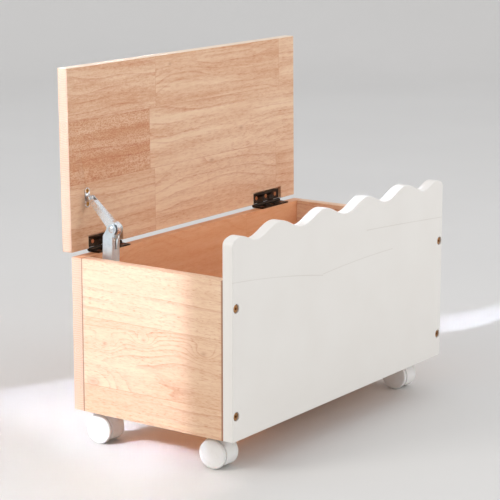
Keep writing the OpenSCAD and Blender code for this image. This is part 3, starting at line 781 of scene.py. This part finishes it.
share = ((ring - 1).most(0.0).least(rings - 3.0) / (rings - 3.0) * 2 - 1) * (math.pi / 2)
x = share.one("SINE") * given["Length"] / 2
reach = abs(x)
span = given["Pitch"] * WAVES / 2
wave = (1 - (x / given["Pitch"] * math.tau).one("COSINE")) * given["Rise"] / 2
beyond = (reach - span) / (given["Length"] / 2 - span)
lobe = (1 - (beyond * LOBE_TURN).one("COSINE")) * given["Lobe"] / 2
in_waves = reach < span
past = (reach - given["Length"] / 2 + given["Corner"]).most(0.0)
drop = given["Corner"] - (given["Corner"] ** 2 - past * past).most(0.0).one("SQRT")
top = given["Valley"] + in_waves * wave + (1 - in_waves) * lobe - drop

short = (given["Arris"] - given["Length"] / 2 + reach).most(0.0)
inset = given["Arris"] - (given["Arris"] ** 2 - short * short).most(0.0).one("SQRT")
corner = (step / CROSSING + 0.001).one("FLOOR")
turn = (corner + (step - corner * CROSSING) / (CROSSING - 1.0)) * (math.pi / 2)
facing = (corner + 0.5) * (math.pi / 2)
bend = given["Arris"] - inset
y = facing.one("COSINE").one("SIGN") * (given["Thickness"] / 2 - given["Arris"]) + bend * turn.one("COSINE")
upper = facing.one("SINE") > 0.0
centre = upper * (top - given["Arris"]) + (1 - upper) * (given["Foot"] + given["Arris"])
z = centre + bend * turn.one("SINE")
open_end = (ring > 0.5) * (ring < rings - 1.5)
board = panel.shaped(sheet, panel.vector(x, given["Middle"] + y * open_end, z))

tools = []
for low, high in bolt_boxes:
    head = (low + high) / 2
    sink = Vector((head.x, PANEL_LOW.y + SINK - 5 * MM, head.z))
    tools.append(panel.rod(BORE, 10 * MM, sink, (math.pi / 2, 0, 0), 48))
    tools.append(panel.rod(SHANK_HOLE, 60 * MM, sink, (math.pi / 2, 0, 0), 24))
for low, high in dowel_boxes:
    size = high - low
    middle = (low + high) / 2
    hole = (size.x / 2 + DOWEL_GAP, size.y + 2 * DOWEL_GAP)
    tools.append(panel.rod(*hole, middle, (math.pi / 2, 0, 0), 32))
gap = Vector((1, 1, 1)) * GROOVE_GAP
tools.append(panel.block(tuple(groove[1] - groove[0] + 2 * gap), (groove[0] + groove[1]) / 2))
settle(panel.make(panel.cut(board, *tools)), "wavy_front", paint, "front_panel",
       flats=True, crease=40)

# %% [markdown]
# ## Screws and bolts
#
# Small fasteners repeat dozens of times, so they are made once and placed by instancing. The packed
# model says where each one sits. A turned profile gives the head and shank, and a cutter gives the
# drive: a cross for the wood screws, a hex socket for the bolts. Nobody drives screws to the same
# angle, so each is twisted by a random turn with a fixed seed.

# %% The fastener tree
def fasteners(node, material, name, facing, hexagon=False):
    """facing is the way the heads look, as one of -y, +y, +x, +z, -z."""
    axis = "xyz".index(facing[1])
    sign = 1 if facing[0] == "+" else -1
    boxes = solid_boxes(node)
    size = boxes[0][1] - boxes[0][0]
    length = size[axis]
    head = min(size[other] for other in range(3) if other != axis) / 2
    tilt = -LID_LEAN if body_of(node) == "lid" else 0.0
    turns = {"+z": (0, 0, 0), "-z": (math.pi, 0, 0), "-y": (math.pi / 2 + tilt, 0, 0),
             "+y": (-math.pi / 2, 0, 0), "+x": (0, math.pi / 2, 0)}
    start = bpy.data.meshes.new(name)
    places = []
    for low, high in boxes:
        place = (low + high) / 2
        place[axis] = (high if sign > 0 else low)[axis]
        places.append(place)
    start.from_pydata(places, [], [])

    maker = Maker(name, Head=head, Shank=head * 0.5, Length=length, Turn=turns[facing])
    given = maker.given
    head, shank, length = given["Head"], given["Shank"], given["Length"]
    if hexagon:
        under = 3.6 * MM
        profile = [(0.0, 0.0), (head - 0.6 * MM, 0.0), (head - 0.15 * MM, -0.2 * MM), (head, -0.6 * MM),
                   (head, -under), (3 * MM, -under), (3 * MM, length * -1 + 0.6 * MM),
                   (2.5 * MM, length * -1), (0.0, length * -1)]
        drive = [maker.rod(2.3 * MM, 4.8 * MM, (0, 0, 0), sides=6)]
    else:
        profile = [(0.0, 0.0), (head - 0.15 * MM, 0.0), (head, -0.12 * MM), (shank, shank - head),
                   (shank, shank * 2 - length), (shank * 0.2, length * -1), (0.0, length * -1)]
        # The two slots differ by a hair, so that their floors don't meet in one plane
        slot = 4.1 * MM
        drive = [maker.block((slot, 0.8 * MM, 2.2 * MM), (0, 0, 0)),
                 maker.block((0.82 * MM, slot, 2.3 * MM), (0, 0, 0))]
    turned = maker.cut(maker.lathe(profile), *drive)
    spread = maker.add("GeometryNodeInstanceOnPoints", values={
        "Points": given["Geometry"], "Instance": turned, "Rotation": given["Turn"]})["Instances"]
    chance = maker.add("FunctionNodeRandomValue", values={2: 0.0, 3: math.tau, "Seed": 7})[1]
    twisted = maker.add("GeometryNodeRotateInstances", values={
        "Instances": spread, "Rotation": maker.vector(0.0, 0.0, chance)})["Instances"]
    return settle(maker.make(twisted, start), name, material, node)


fasteners("front_bolts", bolt_copper, "front_socket_bolts", "-y", hexagon=True)
fasteners("back_bolts", bolt_copper, "back_socket_bolts", "+y", hexagon=True)
fasteners("rim_hinge_screws", copper, "rim_leaf_screws", "+z")
fasteners("lid_hinge_screws", copper, "lid_leaf_screws", "-y")
fasteners("stay_lid_screws", brass, "lid_bracket_screws", "-y")
fasteners("stay_base_screws", zinc, "base_bracket_screws", "+x")
fasteners("caster_screws", zinc, "caster_plate_screws", "-z")

# %% [markdown]
# ## The stay's spring
#
# A helper spring stands in the channel and pushes the plunger up against the cam. It is a helix, which
# Geometry Nodes has as a ready curve; a round wire is swept along it.

# %% Wind the spring
spring_cloud = [vert.co.copy() for vert in bpy.data.objects["stay_spring"].data.vertices]
spring_low, spring_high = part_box("stay_spring")
feet = [co for co in spring_cloud if co.z < spring_low.z + 1.5 * MM]
tops = [co for co in spring_cloud if co.z > spring_high.z - 1.5 * MM]
foot_middle = sum(feet, Vector()) / len(feet)
top_middle = sum(tops, Vector()) / len(tops)
rise = top_middle - foot_middle
spring_r = (spring_high.x - spring_low.x) / 2

coil = Maker("coil_spring", Radius=spring_r, Wire=0.6 * MM, Height=rise.length, Turns=22.0)
given = coil.given
helix = coil.add("GeometryNodeCurveSpiral", values={
    "Resolution": 20, "Rotations": given["Turns"], "Start Radius": given["Radius"] - given["Wire"],
    "End Radius": given["Radius"] - given["Wire"], "Height": given["Height"] - given["Wire"] * 2})["Curve"]
section = {"Resolution": 8, "Radius": given["Wire"]}
wire = coil.add("GeometryNodeCurvePrimitiveCircle", values=section)["Curve"]
swept = coil.add("GeometryNodeCurveToMesh", values={
    "Curve": helix, "Profile Curve": wire, "Fill Caps": True})["Mesh"]
lean = (math.atan2(-rise.y, rise.z), 0, 0)
stood = coil.placed(swept, foot_middle + rise.normalized() * 0.6 * MM, lean)
settle(coil.make(stood), "coil_spring", spring_steel, "stay_spring")

# %% [markdown]
# ## Turned, pressed and moulded parts
#
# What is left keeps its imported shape. Pins and knuckles were turned, brackets and leaves were pressed,
# hoods and wheels were moulded. Each gets its merged copy and the finish that it has on the real chest.

# %% Finish the hardware
FINISHED = {
    "barrel_nuts": zinc, "alignment_dowels": dowel_wood,
    "stay_base_bracket": zinc, "stay_base_pin": zinc,
    "stay_channel": channel_zinc, "stay_plunger": brass,
    "stay_knee_rivet": zinc, "stay_arm": zinc, "stay_lid_bracket": zinc, "stay_lid_pin": zinc,
}
for side in ("left", "right"):
    for part in ("rim_leaf", "lid_leaf", "pin"):
        FINISHED[f"hinge_{side}_{part}"] = bronze
for caster in CASTERS:
    for part, material in (("plate", zinc), ("stem", zinc), ("axle", zinc), ("hood", plastic),
                           ("wheel_left", plastic), ("wheel_right", plastic)):
        FINISHED[f"caster_{caster}_{part}"] = material
for node, material in FINISHED.items():
    settle(merged(node), node + "_finished", material, node)

# %% [markdown]
# ## Floor and light
#
# The chest stands on a wide pale floor that curves up all round, like a studio sweep, so every view
# has the same plain ground. A soft even sky lights it, and a large window high on its left and a little
# behind, which leaves the painted front in quiet shade. Through that window comes a narrow beam of sun
# on the left side and the floor beside it, and light that bounces off the wood warms the shade below.

# %% Build the sweep
def floor_finish():
    finish = Finish("pale_floor")
    cloud = finish.noise(finish.place, scale=1.3, detail=3)
    grit = finish.noise(finish.place, scale=500, detail=2)
    return finish.set(Base_Color=finish.tint(cloud, srgb(226, 224, 221), srgb(219, 217, 214)),
                      Roughness=0.62 + cloud * 0.1, Normal=finish.bump(grit, 0.08, 0.0002))


def sweep(flat, bend, wall, around=96):
    """A round floor that turns up into a wall."""
    shape = bmesh.new()
    profile = [(0.0, 0.0), (flat, 0.0)]
    profile += [(flat + bend * math.sin(a), bend - bend * math.cos(a))
                for a in (math.pi / 2 * i / 16 for i in range(1, 17))]
    profile.append((flat + bend, bend + wall))
    verts = [shape.verts.new((x, 0, z)) for x, z in profile]
    edges = [shape.edges.new(pair) for pair in zip(verts, verts[1:])]
    bmesh.ops.spin(shape, geom=verts + edges, cent=(0, 0, 0), axis=(0, 0, 1), angle=math.tau, steps=around)
    bmesh.ops.remove_doubles(shape, verts=shape.verts, dist=1e-5)
    bmesh.ops.recalc_face_normals(shape, faces=shape.faces)
    mesh = bpy.data.meshes.new("studio_floor")
    shape.to_mesh(mesh)
    shape.free()
    mesh.shade_smooth()
    floor = bpy.data.objects.new("studio_floor", mesh)
    bpy.context.scene.collection.objects.link(floor)
    mesh.materials.append(floor_finish())
    floor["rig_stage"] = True
    return floor


sweep(4.4, 1.6, 1.2)


# %% Hang the lights
def area_light(name, place, aim, size, watts, colour, spread=180):
    lamp = bpy.data.lights.new(name, "AREA")
    lamp.shape = "RECTANGLE"
    lamp.size, lamp.size_y = size
    lamp.energy = watts
    lamp.color = colour
    lamp.spread = math.radians(spread)
    light = bpy.data.objects.new(name, lamp)
    light.location = place
    light.rotation_euler = (Vector(aim) - Vector(place)).to_track_quat("-Z", "Y").to_euler()
    bpy.context.scene.collection.objects.link(light)
    return light


MIDDLE = (LOW + HIGH) / 2
WINDOW = (-2.9, 1.25, 2.1)
area_light("soft_window", WINDOW, MIDDLE, (1.1, 1.1), 34, (1.0, 0.97, 0.93))
sunlit_side = (-LENGTH / 2, 0.207, 0.37)
area_light("sun_through_window", WINDOW, sunlit_side, (0.52, 0.62), 0.95, (0.74, 0.81, 1.0), 1)
sunlit_floor = (-0.47, 0.16, 0.0)
area_light("sun_on_floor", (-2.85, 1.12, 1.63), sunlit_floor, (0.52, 0.3), 0.24, (1.0, 0.98, 0.96), 1)
below = (-0.17, 0.02, FOOT - 4 * MM)
area_light("bounce_under_box", below, (*below[:2], 0.0), (0.2, 0.16), 0.022, (1.0, 0.36, 0.1), 90)
area_light("front_fill", (1.6, -3.4, 2.0), MIDDLE, (2.4, 1.8), 35, (1.0, 0.99, 0.98))

world = bpy.data.worlds.new("even_sky")
world.use_nodes = True
world.node_tree.nodes["Background"].inputs["Color"].default_value = (*srgb(236, 238, 242), 1)
world.node_tree.nodes["Background"].inputs["Strength"].default_value = 0.98
bpy.context.scene.world = world
bpy.context.scene.view_settings.view_transform = "Standard"
print("window, fill and sky")

# %% [markdown]
# ## Camera
#
# A long lens from three metres keeps the box's edges nearly parallel.
# It looks at a point close to the middle, from the front left and a little above.

# %% Stand the camera
YAW, PITCH = math.radians(54.819), math.radians(12.062)
DISTANCE = 3.0207
ahead = Vector((math.sin(YAW) * math.cos(PITCH), math.cos(YAW) * math.cos(PITCH), -math.sin(PITCH)))
right = Vector((math.cos(YAW), -math.sin(YAW), 0))
aim = MIDDLE + right * (-17.8 * MM) + right.cross(ahead) * (-19.1 * MM)

lens = bpy.data.cameras.new("camera")
lens.lens = 136.8
lens.clip_end = 50
camera = bpy.data.objects.new("camera", lens)
camera.location = aim - ahead * DISTANCE
camera.rotation_euler = (math.pi / 2 - PITCH, 0, -YAW)
bpy.context.scene.collection.objects.link(camera)
bpy.context.scene.camera = camera
print("camera at", [round(v, 3) for v in camera.location])

# %% [markdown]
# ## Check the size and finish
#
# The finished pieces must stay in the imported model's box. How far the two boxes differ is printed.

# %% Finish
seen_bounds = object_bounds()
for low_or_high, cad, seen in zip(("low", "high"), cad_bounds, seen_bounds):
    print(low_or_high, "differs by, mm:", [round((b - a) / MM, 2) for a, b in zip(cad, seen)])
